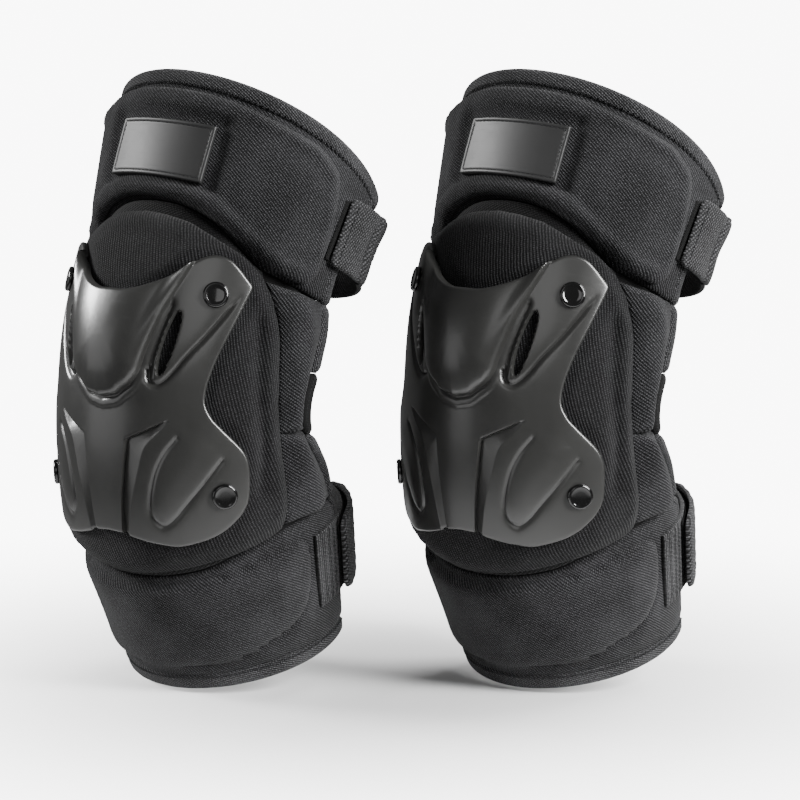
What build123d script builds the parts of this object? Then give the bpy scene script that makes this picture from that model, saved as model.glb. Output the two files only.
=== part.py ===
from build123d import *
import os
from functools import lru_cache
from math import cos, radians, sin

# A pair of padded knee guards with riveted hard shells, in millimetres, +Z up.
# Each guard keeps the shape of a bent leg: it faces -Y and is open at the back.
# Places on a guard are given on the leg's own form, as three numbers:
#   u  angle round the leg in degrees, 0 at the front, + towards the outer side (+X)
#   s  distance along the leg from the middle of the knee, + up the thigh
#   h  distance out from the leg's skin

# ---- Driving dimensions -------------------------------------------------------
THIGH_LEAN = 24.0        # degrees that the thigh leans back
SHIN_LEAN = 16.0         # degrees that the shin goes back on its way down
BEND_HALF = 70.0         # the knee's bend runs this far up and down the leg
KNEE_RADIUS = 62.0       # the leg is round, and tapers above and below the knee's bend
THIGH_TAPER = 0.12
SHIN_TAPER = 0.13
BOTTOM = -143.0          # the lower rim
TOP_FRONT = 162.0        # the upper rim at the front; it is cut lower towards the back
TOP_CUT = 0.0026
BINDING = 10.0           # width of the tape round the two rims
EDGE_TAPE = 7.0          # width of the tape down each back edge, in degrees
PAIR_SPACING = 189.0     # distance between the two guards
PAIR_ANGLE = 39.0        # degrees from +X to the line between them
GAP = 0.4                # between layers
SEAM = 1.2               # between pieces sewn side by side
PANEL_INSET = 3.6        # from the fold to the thigh panel, so that it clears the knee as it bends
PANEL_BELOW_TAPE = 3.0   # from the upper rim's tape down to the thigh panel
PANEL_SIDE = 80.5        # the thigh panel ends at this angle, between the two heights
PANEL_SIDE_HEIGHTS = (68, 124)
LABEL_HALF = 23.0        # half of the badge's width, in degrees
LABEL_HEIGHTS = (101, 132)

# Layers, as distances out from the skin
LINING = (0.0, 2.0)
SLEEVE = (LINING[1] + GAP, 8.0)
THIGH_PAD = (SLEEVE[1] + GAP, 13.5)
KNEE_PAD = (SLEEVE[1] + GAP, 15.0)
LABEL = (THIGH_PAD[1] + GAP, 16.2)
SHELL = (KNEE_PAD[1] + GAP, 18.4)
TAPE = (0.5, 8.4)
PATCH = 0.8              # thickness of hook and loop patches
STRAP = 2.2
TAB = 2.4

# Lengths of tape and side fabric along the back edges, as s from the lower end to the upper end
THIGH_TAPE = (63, 117)
KNEE_UPPER_TAPE = (23, 60.5)
KNEE_INSERT = (-12, 22)
KNEE_LOWER_TAPE = (-56.5, -13)
SHIN_TAPE = (BOTTOM + BINDING + SEAM, -60.5)
UPPER_GUSSET = (-9, 62)
LOWER_GUSSET = (-57, -10.2)

# Outlines, as (u, s) from the front to the back edge
THIGH_FOLD = [(0, 91), (15, 90), (30, 85), (45, 75), (57, 67), (80, 64), (130, 60)]
SHIN_FOLD = [(0, -71), (20, -71), (40, -69), (60, -63), (80, -60), (130, -58)]
# The back edge, as (s, u) from the lower rim to the upper rim
BACK_EDGE = [(-160, 122), (-55, 122), (-37, 118), (-9, 100), (7, 100), (22, 105), (46, 108),
             (67, 102), (90, 99), (112, 104), (140, 112), (180, 112)]

# Knee pad: half of its outline, and the seams down the foam's side and beside it
PAD_TOP = [(0, 82), (16, 79), (31, 75), (44, 70), (53, 64), (60, 57), (66, 47), (71, 33), (74, 10)]
PAD_BOTTOM = [(0, -68), (16, -69), (38, -66), (58, -60), (70, -56), (78, -50), (78, -30)]
FOAM_SIDE = 78.0
GUSSET_FRONT = FOAM_SIDE + 1.5
SIDE_SEAM = range(-50, 60, 10)   # s of the corners down the seam

# Hard shell: half of its outline, from the top of the cup round to the lower lip
SHELL_NECK = [(0, 46), (9, 47), (17, 50.5), (25, 57), (32, 63)]
SHELL_SIDE = [(40, 66), (48, 62.5), (54, 57), (51, 42), (46.5, 28), (43, 16), (42.5, 5), (48, -4), (56, -13),
              (60, -28), (56.5, -42), (49, -49)]
SHELL_LIP = [(40, -52.5), (29, -54), (15, -50.5), (0, -48)]
CUP_CENTRE = 27.0        # s of the domed cup's middle
CUP_RADIUS = 39.0
CUP_RISE = 8.0           # the dome stands this far out of the shell
THROUGH = 2.0            # how far a cutter stands out of the layer it cuts
RIVETS = [(41, 50), (49.5, -34)]
CAP_RADIUS = 7.0
CAP_HEIGHT = 3.2
CAP_SKIRT = 0.8
CAP_RISE = CAP_HEIGHT - CAP_SKIRT
CAP_DOME = (CAP_RADIUS ** 2 + CAP_RISE ** 2) / (2 * CAP_RISE)
CAP_LIFT = 0.05          # between the cap and the shell
POST_RADIUS = 2.0
POST_CLEARANCE = 0.5
WASHER_RADIUS = 6.0
WASHER_THICKNESS = 1.2
WASHER_BORE = POST_RADIUS + 0.2
WASHER_BOTTOM = SLEEVE[1] + 0.7
WASHER_TOP = WASHER_BOTTOM + WASHER_THICKNESS
WASHER_ROOM = 0.5        # above the washer in its pocket
VENT = (26, 28)          # middle of the slot beside the cup
VENT_SIZE = (27.0, 6.5)
VENT_TURN = -16.0
VENT_DEPTH = 24.0        # the slot's cutter, which starts below the shell
VENT_BELOW = 8.0

# Straps
UPPER_STRAP = (82.0, 120.0)
LOWER_STRAP = (-114.0, -70.0)
UPPER_TAB = (88.0, 115.0)
LOWER_TAB = (110.0, 150.0)
TAB_HINGE = 1.5          # degrees between a tab and its hinge line, and on to the strap
LOWER_STRAP_START = 92.0
HOOK_INSET = 3.0         # from the strap's side to the hook patch, and to the loop patch
LOOP_INSET = 2.0
HOOK_ENDS = (2.0, 8.0)   # degrees from the tab's tip to the hook patch, and from it to the hinge
UPPER_LOOP_ENDS = (2.0, 13.0)    # degrees before and after the tab's tip
LOWER_LOOP_ENDS = (1.0, 8.0)     # degrees after the tab's tip and past its hinge

# Layers of the straps, out from the tape
UPPER_PATCH = TAPE[1] + GAP
UPPER_HOOK = UPPER_PATCH + PATCH + GAP
UPPER_TAB_LAYER = UPPER_HOOK + PATCH + GAP
LOWER_BAND = TAPE[1] + GAP
LOWER_PATCH = LOWER_BAND + STRAP + GAP
LOWER_HOOK = LOWER_PATCH + PATCH + GAP
LOWER_TAB_LAYER = LOWER_HOOK + PATCH + GAP

# Sizes of the shapes that are cut away
CONE = 110.0             # length of the thigh's and the shin's cones
FAR = 300.0
LINE_END = 130           # front-to-back lines run on to this angle, past the back edge
LINE_STEP = 5
CORNER_ROOM = 1.0        # corners of the back edge closer than this to an end are left out
RING_STEPS = 12
STANDING = (Align.CENTER, Align.CENTER, Align.MIN)


# ---- The leg's form -------------------------------------------------------------
BEND_RADIUS = 2 * BEND_HALF / radians(THIGH_LEAN + SHIN_LEAN)
MID_LEAN = radians(THIGH_LEAN - SHIN_LEAN) / 2


def lean(s):
    """Backward lean of the leg's axis in radians."""
    return MID_LEAN + max(-BEND_HALF, min(BEND_HALF, s)) / BEND_RADIUS


def centre(s):
    """Side-view place (y, z) of the leg's axis: an arc at the knee, straight beyond it."""
    tilt = lean(s)
    beyond = s - max(-BEND_HALF, min(BEND_HALF, s))
    y = BEND_RADIUS * (cos(MID_LEAN) - cos(tilt)) + beyond * sin(tilt)
    z = BEND_RADIUS * (sin(tilt) - sin(MID_LEAN)) + beyond * cos(tilt)
    return y, z


def radius(s, h=0.0):
    """Radius of the leg at s, grown by h."""
    above = max(0, s - BEND_HALF)
    below = max(0, -BEND_HALF - s)
    return KNEE_RADIUS + THIGH_TAPER * above - SHIN_TAPER * below + h


def leg_plane(s):
    """Plane across the leg: its x is +X, its y points back and its z up the leg."""
    y, z = centre(s)
    return Plane(origin=(0, y, z), x_dir=(1, 0, 0), z_dir=(0, sin(lean(s)), cos(lean(s))))


def leg_point(u, s, h):
    """Point of the guard at angle u, distance s along the leg and h out from the skin."""
    across = radius(s, h) * sin(radians(u))
    back = -radius(s, h) * cos(radians(u))
    return leg_plane(s).from_local_coords(Vector(across, back, 0))


def surface_plane(u, s, h):
    """Plane that touches the form at a place: its z points straight out, its y up the leg."""
    local = leg_plane(s)
    out = local.from_local_coords(Vector(sin(radians(u)), -cos(radians(u)), 0)) - local.origin
    along = local.z_dir.cross(out)
    return Plane(origin=leg_point(u, s, h), x_dir=along, z_dir=out)


@lru_cache(maxsize=None)
def form(h):
    """The leg's form grown by h: two cones joined by a bend, longer than the guard."""
    thigh_end = BEND_HALF + CONE
    thigh = Cone(radius(BEND_HALF, h), radius(thigh_end, h), CONE, align=STANDING)
    shin_end = -BEND_HALF - CONE
    shin = Cone(radius(shin_end, h), radius(-BEND_HALF, h), CONE, align=STANDING)
    hub = Vector(0, BEND_RADIUS * cos(MID_LEAN), -BEND_RADIUS * sin(MID_LEAN))
    hub_plane = Plane(origin=hub, x_dir=leg_plane(-BEND_HALF).origin - hub, z_dir=(-1, 0, 0))
    bend = Solid.make_torus(BEND_RADIUS, radius(0, h), major_angle=THIGH_LEAN + SHIN_LEAN)
    return leg_plane(BEND_HALF) * thigh + hub_plane * bend + leg_plane(shin_end) * shin


@lru_cache(maxsize=None)
def layer(low, high):
    return form(high) - form(low)


# ---- Cutting outlines out of layers ---------------------------------------------
def on_line(points, at):
    """Value at a place on a line of straight pieces through the points."""
    for (a, value_a), (b, value_b) in zip(points, points[1:]):
        if at <= b:
            return value_a + (value_b - value_a) * (at - a) / (b - a)
    return points[-1][1]


def back_edge(s):
    return on_line(BACK_EDGE, s)


def top_rim(u):
    return TOP_FRONT - TOP_CUT * u * u


def side_point(u, s, h):
    point = leg_point(u, s, h)
    return point.Y, point.Z


def forward(s, h):
    """Side-view point straight out in front of the leg."""
    y, z = side_point(0, s, h)
    return y - FAR * cos(lean(s)), z + FAR * sin(lean(s))


def prism(pieces):
    """Prism across the leg from side-view edges that join end to end."""
    return extrude(Plane.YZ * make_face(Wire(pieces)), amount=FAR, both=True)


def band(lower, upper, h):
    """Prism between two front-to-back lines of (u, s), straight on out in front."""
    low = [forward(lower[0][1], h)] + [side_point(u, s, h) for u, s in lower]
    high = [side_point(u, s, h) for u, s in reversed(upper)] + [forward(upper[0][1], h)]
    return prism(Polyline(*low, *high, close=True).edges())


def shifted(points, by):
    return [(u, s + by) for u, s in points]


def up_to_edge(points, inset):
    """A front-to-back line that stops inset degrees short of the back edge."""
    kept = []
    for u in range(0, LINE_END + 1, LINE_STEP):
        s = on_line(points, u)
        if u >= back_edge(s) - inset:
            break
        kept.append((u, s))
    end = back_edge(kept[-1][1]) - inset
    return kept + [(end, on_line(points, end))]


def edge_corners(low_s, high_s):
    """The s of the back edge's corners between two heights."""
    return [s for s, _ in BACK_EDGE if low_s + CORNER_ROOM < s < high_s - CORNER_ROOM]


def piece(layer_range, lower, upper, inset):
    """Part of a layer between two lines, ending short of the back edge by inset degrees."""
    low = up_to_edge(lower, inset)
    high = up_to_edge(upper, inset)
    side = [(back_edge(s) - inset, s) for s in edge_corners(low[-1][1], high[-1][1])]
    return layer(*layer_range) & band(low + side, high, sum(layer_range) / 2)


def side_piece(layer_range, front, rear):
    """Part of a layer between two lines of (u, s) that both run up the leg."""
    middle = sum(layer_range) / 2
    corners = [side_point(u, s, middle) for u, s in front + rear[::-1]]
    return layer(*layer_range) & prism(Polyline(*corners, close=True).edges())


def edge_strip(span):
    """Tape along both back edges over span."""
    stations = [span[0], *edge_corners(*span), span[1]]
    front = [(back_edge(s) - EDGE_TAPE, s) for s in stations]
    rear = [(back_edge(s), s) for s in stations]
    return side_piece(TAPE, front, rear)


def both_sides(u_s_places):
    return [(side * u, s) for side in (1, -1) for u, s in u_s_places]


def rim_line(cut):
    """Line parallel to the upper rim, cut below it."""
    return [(u, top_rim(u) - cut) for u in range(0, LINE_END + 1, 2 * LINE_STEP)]


def level_line(s):
    return [(0, s), (LINE_END, s)]


# ---- Thigh ------------------------------------------------------------------------
def thigh_lining():
    return piece(LINING, shifted(THIGH_FOLD, SEAM), rim_line(BINDING + SEAM), EDGE_TAPE + 1)


def thigh_sleeve():
    return piece(SLEEVE, shifted(THIGH_FOLD, SEAM), rim_line(BINDING + SEAM), EDGE_TAPE + 1)


def thigh_panel():
    """Raised moulded pad on the front and sides of the thigh."""
    low_corner, high_corner = PANEL_SIDE_HEIGHTS
    lower = [(u, s) for u, s in shifted(THIGH_FOLD, PANEL_INSET) if s > low_corner]
    rim = rim_line(BINDING + PANEL_BELOW_TAPE)
    upper = [(u, s) for u, s in rim if u < PANEL_SIDE and s > high_corner]
    lower.append((PANEL_SIDE, low_corner))
    upper.append((PANEL_SIDE, high_corner))
    return layer(*THIGH_PAD) & band(lower, upper, THIGH_PAD[1])


def thigh_label():
    """Plain rubber badge on the front of the thigh."""
    lower, upper = ([(0, s), (LABEL_HALF, s)] for s in LABEL_HEIGHTS)
    return layer(*LABEL) & band(lower, upper, LABEL[1])


def top_binding():
    """Tape folded over the upper rim."""
    return piece(TAPE, rim_line(BINDING), rim_line(0), 0)


def thigh_edge_bindings():
    return edge_strip(THIGH_TAPE)


# ---- Knee --------------------------------------------------------------------------
def knee_lining():
    return piece(LINING, shifted(SHIN_FOLD, SEAM), shifted(THIGH_FOLD, -SEAM), EDGE_TAPE + 1)


def knee_foam():
    """Shock-absorbing foam between the lining and the knee pad."""
    lower = [(u, s) for u, s in shifted(SHIN_FOLD, SEAM) if u < FOAM_SIDE]
    upper = [(u, s) for u, s in shifted(THIGH_FOLD, -SEAM) if u < FOAM_SIDE]
    low_end, high_end = (on_line(fold, FOAM_SIDE) for fold in (SHIN_FOLD, THIGH_FOLD))
    side = [(FOAM_SIDE, s) for s in (low_end + SEAM, *SIDE_SEAM, high_end - SEAM)]
    return layer(*SLEEVE) & band(lower + side, upper, sum(SLEEVE) / 2)


def gussets(span):
    """Padded fabric at both sides of the knee, between the foam and the back edge."""
    low_s, high_s = span
    seam = [s for s in SIDE_SEAM if low_s + CORNER_ROOM < s < high_s - CORNER_ROOM]
    front = [(GUSSET_FRONT, s) for s in (low_s, *seam, high_s)]
    edge = [low_s, *edge_corners(*span), high_s]
    rear = [(back_edge(s) - EDGE_TAPE - 1, s) for s in edge]
    return side_piece(SLEEVE, front, rear)


def rivet_hole(u, s, radius, low, high):
    """Cylinder straight through the layers from distance low to high."""
    place = surface_plane(u, s, low)
    return extrude(place * Circle(radius), amount=high - low)


def knee_pad():
    """Thick fabric-covered pad that carries the shell, with a bore and a pocket at each rivet."""
    pad = layer(*KNEE_PAD) & band(PAD_BOTTOM, PAD_TOP, KNEE_PAD[1])
    for u, s in both_sides(RIVETS):
        pad -= rivet_hole(u, s, POST_RADIUS + POST_CLEARANCE, SLEEVE[1], SHELL[1])
        pocket = WASHER_RADIUS + POST_CLEARANCE
        pad -= rivet_hole(u, s, pocket, SLEEVE[1] - THROUGH, WASHER_TOP + WASHER_ROOM)
    return pad


def cup(shrink):
    """The dome at the front of the shell."""
    apex = radius(CUP_CENTRE, SHELL[1] + CUP_RISE)
    return leg_plane(CUP_CENTRE) * Location((0, CUP_RADIUS - apex, 0)) * Sphere(CUP_RADIUS - shrink)


def shell_outline():
    """Prism of the shell's side view: smooth curves with a corner at the horn and the lobe."""
    h = SHELL[1]
    neck = [side_point(u, s, h) for u, s in SHELL_NECK + SHELL_SIDE[:1]]
    side = [side_point(u, s, h) for u, s in SHELL_SIDE[2:]]
    horn = [side_point(u, s, h) for u, s in SHELL_SIDE[:3]]
    lip = [side_point(u, s, h) for u, s in SHELL_SIDE[-1:] + SHELL_LIP]
    top = forward(SHELL_NECK[0][1], h)
    bottom = forward(SHELL_LIP[-1][1], h)
    return prism([
        Line(top, neck[0]), Spline(*neck), Spline(*horn), Spline(*side), Spline(*lip),
        Line(lip[-1], bottom), Line(bottom, top),
    ])


def vent(side):
    """Lens-shaped slot beside the cup."""
    length, width = VENT_SIZE
    place = surface_plane(side * VENT[0], VENT[1], SHELL[0] - VENT_BELOW)
    lens = place * Rot(0, 0, side * VENT_TURN) * Ellipse(width / 2, length / 2)
    return extrude(lens, amount=VENT_DEPTH)


def knee_shell():
    """Hard moulded shell with a domed cup, two horns, two lobes and two slots."""
    outside = form(SHELL[1]) + cup(0)
    inside = form(SHELL[0]) + cup(SHELL[1] - SHELL[0])
    shell = (outside - inside) & shell_outline()
    for u, s in both_sides(RIVETS):
        shell -= rivet_hole(u, s, POST_RADIUS + POST_CLEARANCE, SHELL[0] - THROUGH, SHELL[1] + THROUGH)
    for side in (1, -1):
        shell -= vent(side)
    return shell


def rivet_caps():
    """Domed caps, each with a post down through the shell and the pad to its washer."""
    caps = []
    for u, s in both_sides(RIVETS):
        place = surface_plane(u, s, SHELL[1] + CAP_LIFT)
        foot = WASHER_BOTTOM - SHELL[1]
        skirt = Polyline((0, CAP_HEIGHT), (0, foot), (POST_RADIUS, foot), (POST_RADIUS, 0),
                         (CAP_RADIUS, 0), (CAP_RADIUS, CAP_SKIRT))
        dome = RadiusArc((CAP_RADIUS, CAP_SKIRT), (0, CAP_HEIGHT), -CAP_DOME)
        profile = make_face(Wire(skirt.edges() + dome.edges()))
        caps.append(place * revolve(Plane.XZ * profile, Axis.Z))
    return caps


def rivet_washers():
    washers = []
    for u, s in both_sides(RIVETS):
        place = surface_plane(u, s, WASHER_BOTTOM)
        ring = Circle(WASHER_RADIUS) - Circle(WASHER_BORE)
        washers.append(extrude(place * ring, amount=WASHER_THICKNESS))
    return washers


def upper_gussets():
    return gussets(UPPER_GUSSET)


def lower_gussets():
    return gussets(LOWER_GUSSET)


def knee_upper_bindings():
    return edge_strip(KNEE_UPPER_TAPE)


def knee_edge_inserts():
    return edge_strip(KNEE_INSERT)


def knee_lower_bindings():
    return edge_strip(KNEE_LOWER_TAPE)


# ---- Shin --------------------------------------------------------------------------
def shin_lining():
    return piece(LINING, level_line(BOTTOM + BINDING + SEAM), shifted(SHIN_FOLD, -SEAM), EDGE_TAPE + 1)


def shin_sleeve():
    return piece(SLEEVE, level_line(BOTTOM + BINDING + SEAM), shifted(SHIN_FOLD, -SEAM), EDGE_TAPE + 1)


def bottom_binding():
    """Tape folded over the lower rim."""
    return piece(TAPE, level_line(BOTTOM), level_line(BOTTOM + BINDING), 0)


def shin_edge_bindings():
    return edge_strip(SHIN_TAPE)


# ---- Straps ------------------------------------------------------------------------
def ring_part(span, low_h, high_h, start, end):
    """Part of a ring round the leg over span, from angle start on round the back to end."""
    low_s, high_s = span
    outside, inside = (
        Cone(radius(low_s, h), radius(high_s, h), high_s - low_s, align=STANDING)
        for h in (high_h, low_h)
    )
    corners = []
    for step in range(RING_STEPS + 1):
        angle = radians(start + (end - start) * step / RING_STEPS)
        corners.append((FAR * sin(angle), -FAR * cos(angle)))
    sector = leg_plane(sum(span) / 2) * make_face(Polyline((0, 0), *corners, close=True))
    wedge = extrude(sector, amount=FAR / 2, both=True)
    return leg_plane(low_s) * (outside - inside) & wedge


def narrowed(span, by):
    return span[0] + by, span[1] - by


def hook_patch(strap, tab, low_h):
    """Patch of hooks sewn under a tab, clear of its tip and of its hinge."""
    start, end = tab[0] + HOOK_ENDS[0], tab[1] - HOOK_ENDS[1]
    return ring_part(narrowed(strap, HOOK_INSET), low_h, low_h + PATCH, start, end)


def loop_patch(strap, low_h, start, end):
    """Patch of loops that a tab closes on."""
    return ring_part(narrowed(strap, LOOP_INSET), low_h, low_h + PATCH, start, end)


def upper_strap():
    """Elastic across the back of the thigh, sewn down on the inner side."""
    start, end = UPPER_TAB[1] + 2 * TAB_HINGE, 360 - UPPER_TAB[0]
    return ring_part(UPPER_STRAP, UPPER_HOOK, UPPER_HOOK + STRAP, start, end)


def upper_strap_tab():
    """Woven end of the upper strap, which peels off the outer side."""
    return ring_part(UPPER_STRAP, UPPER_TAB_LAYER, UPPER_TAB_LAYER + TAB, *UPPER_TAB)


def upper_hook_patch():
    return hook_patch(UPPER_STRAP, UPPER_TAB, UPPER_HOOK)


def upper_loop_patch():
    before, after = UPPER_LOOP_ENDS
    return loop_patch(UPPER_STRAP, UPPER_PATCH, UPPER_TAB[0] - before, UPPER_TAB[0] + after)


def lower_strap():
    """Ribbed elastic across the calf, sewn down on both sides."""
    end = 360 - LOWER_STRAP_START
    return ring_part(LOWER_STRAP, LOWER_BAND, LOWER_BAND + STRAP, LOWER_STRAP_START, end)


def lower_strap_tab():
    """Brushed end of the lower strap, which peels off the back of the elastic."""
    return ring_part(LOWER_STRAP, LOWER_TAB_LAYER, LOWER_TAB_LAYER + TAB, *LOWER_TAB)


def lower_hook_patch():
    return hook_patch(LOWER_STRAP, LOWER_TAB, LOWER_HOOK)


def lower_loop_patch():
    after, past = LOWER_LOOP_ENDS
    return loop_patch(LOWER_STRAP, LOWER_PATCH, LOWER_TAB[0] + after, LOWER_TAB[1] + past)


# ---- One guard, then the pair ----------------------------------------------------
PIECES = [
    thigh_lining, thigh_sleeve, thigh_panel, thigh_label, top_binding, thigh_edge_bindings,
    knee_lining, knee_foam, knee_pad, knee_shell, rivet_caps, rivet_washers,
    upper_gussets, lower_gussets, knee_upper_bindings, knee_edge_inserts, knee_lower_bindings,
    shin_lining, shin_sleeve, bottom_binding, shin_edge_bindings,
    upper_strap, upper_strap_tab, upper_hook_patch, upper_loop_patch,
    lower_strap, lower_strap_tab, lower_hook_patch, lower_loop_patch,
]


def solids_of(shape):
    """A node's solids as one compound."""
    parts = shape if isinstance(shape, list) else [shape]
    return Compound([solid for part in parts for solid in part.solids()])


def pair_step():
    """How far the second guard stands from the first."""
    angle = radians(PAIR_ANGLE)
    return Vector(PAIR_SPACING * cos(angle), PAIR_SPACING * sin(angle), 0)


def main():
    """The left guard keeps the leg's own frame, with its origin in the middle of the knee."""
    os.makedirs("parts", exist_ok=True)
    for make in PIECES:
        shape = solids_of(make())
        for side, place in (("left", Vector(0, 0, 0)), ("right", pair_step())):
            export_step(shape.moved(Location(place)), f"parts/{side}_{make.__name__}.step")


main()
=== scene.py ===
import math

import bpy
import numpy as np
from mathutils import Matrix, Vector
from mathutils.geometry import delaunay_2d_cdt
from mathutils.kdtree import KDTree
from numpy.linalg import norm


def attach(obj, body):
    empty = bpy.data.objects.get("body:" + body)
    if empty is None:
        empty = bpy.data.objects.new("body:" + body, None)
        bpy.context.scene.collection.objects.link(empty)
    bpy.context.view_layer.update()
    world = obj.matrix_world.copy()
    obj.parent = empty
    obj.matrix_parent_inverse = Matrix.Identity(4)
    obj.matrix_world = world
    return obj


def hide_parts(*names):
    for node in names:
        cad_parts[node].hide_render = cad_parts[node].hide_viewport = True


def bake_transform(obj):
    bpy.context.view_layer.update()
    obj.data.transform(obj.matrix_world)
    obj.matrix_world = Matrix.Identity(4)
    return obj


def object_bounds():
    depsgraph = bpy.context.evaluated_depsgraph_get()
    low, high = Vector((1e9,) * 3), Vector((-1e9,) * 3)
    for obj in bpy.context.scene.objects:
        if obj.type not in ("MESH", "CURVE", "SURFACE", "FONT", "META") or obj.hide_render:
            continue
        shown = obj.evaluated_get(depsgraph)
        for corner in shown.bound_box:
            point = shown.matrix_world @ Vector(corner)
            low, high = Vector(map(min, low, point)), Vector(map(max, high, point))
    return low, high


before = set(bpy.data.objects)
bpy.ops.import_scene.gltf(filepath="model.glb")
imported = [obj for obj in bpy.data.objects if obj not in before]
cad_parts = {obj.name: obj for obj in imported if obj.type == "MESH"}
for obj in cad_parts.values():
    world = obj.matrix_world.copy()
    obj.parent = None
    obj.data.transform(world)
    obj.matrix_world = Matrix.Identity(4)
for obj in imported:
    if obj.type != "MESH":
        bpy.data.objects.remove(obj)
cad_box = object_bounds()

# The visual model of a pair of knee guards. Places on a guard are given as in part.py:
#   u  degrees round the leg, 0 at the front, + towards the outer side
#   s  millimetres along the leg from the middle of the knee, + up the thigh
#   h  millimetres out from the leg's skin

MM = 0.001

# ---- The leg's form, as in part.py ----
THIGH_LEAN = 24.0
SHIN_LEAN = 16.0
BEND_HALF = 70.0
KNEE_RADIUS = 62.0
THIGH_TAPER = 0.12
SHIN_TAPER = 0.13
BEND_RADIUS = 2 * BEND_HALF / math.radians(THIGH_LEAN + SHIN_LEAN)
MID_LEAN = math.radians(THIGH_LEAN - SHIN_LEAN) / 2
PAIR_SPACING = 189.0
PAIR_ANGLE = math.radians(39)
PAIR_STEP = Vector((math.cos(PAIR_ANGLE), math.sin(PAIR_ANGLE), 0)) * PAIR_SPACING * MM
BOTTOM = -143.0
BINDING = 10.0
EDGE_TAPE = 7.0

# ---- Layers, as heights out from the skin ----
LINING_UNDER, LINING_TOP = 0.2, 1.7
WEB_UNDER, WEB_TOP = 2.0, 2.25
CORE_UNDER = 2.3              # foam, sleeves and side fabric
PAD_UNDER = 8.2               # raised pads and the upper loop patch
WASHER_UNDER = 8.7
SHELL_UNDER, SHELL_TOP = 15.4, 18.4
UPPER_BAND_H, UPPER_HOOK_H, UPPER_TAB_H = 10.0, 10.0, 11.2
LOWER_BAND_H, LOWER_PATCH_H, LOWER_HOOK_H, LOWER_TAB_H = 8.8, 11.4, 12.6, 13.8

THIGH_FOLD = [(0, 91), (15, 90), (30, 85), (45, 75), (57, 67), (80, 64), (130, 60)]
SHIN_FOLD = [(0, -71), (20, -71), (40, -69), (60, -63), (80, -60), (130, -58)]
BACK_EDGE = [(-160, 122), (-55, 122), (-37, 118), (-9, 100), (7, 100), (22, 105), (46, 108),
             (67, 102), (90, 99), (112, 104), (140, 112), (180, 112)]


def radius(s):
    """Radius of the leg, which widens up the thigh and narrows down the shin."""
    wider = THIGH_TAPER * np.maximum(0, s - BEND_HALF)
    return KNEE_RADIUS + wider - SHIN_TAPER * np.maximum(0, -BEND_HALF - s)


def place(u, s, h):
    """Points in metres at angle u, distance s along the leg and h out from the skin."""
    u, s, h = np.broadcast_arrays(np.asarray(u, float), np.asarray(s, float), np.asarray(h, float))
    along = np.clip(s, -BEND_HALF, BEND_HALF)
    tilt = MID_LEAN + along / BEND_RADIUS
    beyond = s - along
    across = (radius(s) + h) * np.sin(np.radians(u))
    back = -(radius(s) + h) * np.cos(np.radians(u))
    y = BEND_RADIUS * (math.cos(MID_LEAN) - np.cos(tilt)) + beyond * np.sin(tilt) + back * np.cos(tilt)
    z = BEND_RADIUS * (np.sin(tilt) - math.sin(MID_LEAN)) + beyond * np.cos(tilt) - back * np.sin(tilt)
    return np.stack([across, y, z], -1) * MM


def outward(u, s):
    """Direction straight out of the leg."""
    tilt = MID_LEAN + max(-BEND_HALF, min(BEND_HALF, s)) / BEND_RADIUS
    a = math.radians(u)
    return Vector((math.sin(a), -math.cos(a) * math.cos(tilt), math.cos(a) * math.sin(tilt)))


# ---- Lines and fields ----
def eased(points, at, reach):
    """Value on a line of straight pieces, with its corners rounded over reach."""
    a, b = np.array(points, float).T
    steps = np.linspace(-reach, reach, 5)
    return np.mean([np.interp(np.asarray(at, float) + step, a, b) for step in steps], axis=0)


def back_edge(s):
    return eased(BACK_EDGE, s, 6)


def thigh_fold(u):
    return eased(THIGH_FOLD, np.abs(u), 5)


def shin_fold(u):
    return eased(SHIN_FOLD, np.abs(u), 5)


def top_rim(u):
    return 162 - 0.0026 * np.asarray(u, float) ** 2


def curve(points, steps=8):
    """Smooth line through points, ends included."""
    p = [np.array(q, float) for q in points]
    p = [2 * p[0] - p[1], *p, 2 * p[-1] - p[-2]]
    line = []
    for a, b, c, d in zip(p, p[1:], p[2:], p[3:]):
        for t in np.arange(steps) / steps:
            line.append(0.5 * (2 * b + (c - a) * t + (2 * a - 5 * b + 4 * c - d) * t ** 2
                               + (3 * b - 3 * c + d - a) * t ** 3))
    return [tuple(q) for q in line] + [tuple(p[-2])]


def mirrored(half):
    """Whole outline from its right half, which runs from the middle to the middle."""
    return list(half) + [(-u, s) for u, s in reversed(half) if abs(u) > 1e-6]


def step(low, high, x):
    """Smooth step from 0 at low to 1 at high."""
    t = np.clip((x - low) / (high - low), 0, 1)
    return t * t * (3 - 2 * t)


def arch(edge, reach):
    """Quarter-round profile: 0 at the edge, 1 from reach inwards."""
    t = np.clip(1 - edge / reach, 0, 1)
    return np.sqrt(1 - t * t)


def fall(edge, reach):
    """How far a rounded edge falls: 1 at the edge, 0 from reach inwards."""
    return 1 - arch(edge, reach)


def swell(x, width, middle=0.0):
    """Bell-shaped rise: 1 at the middle, fading over width."""
    return np.exp(-((x - middle) / width) ** 2)


def lengths(line):
    """Length along a line at each of its points."""
    return np.concatenate([[0], np.cumsum(norm(np.diff(line, axis=0), axis=1))])


def line_distance(points, line, closed=False):
    """Distance of each point to a line of straight pieces."""
    line = np.asarray(line, float)
    ends = np.roll(line, -1, 0) if closed else line[1:]
    starts = line if closed else line[:-1]
    best = np.full(len(points), 1e9)
    for a, b in zip(starts, ends):
        d = b - a
        t = np.clip(((points - a) @ d) / max(d @ d, 1e-12), 0, 1)
        gap = points - a - t[:, None] * d
        best = np.minimum(best, np.einsum("ij,ij->i", gap, gap))
    return np.sqrt(best)


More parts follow.
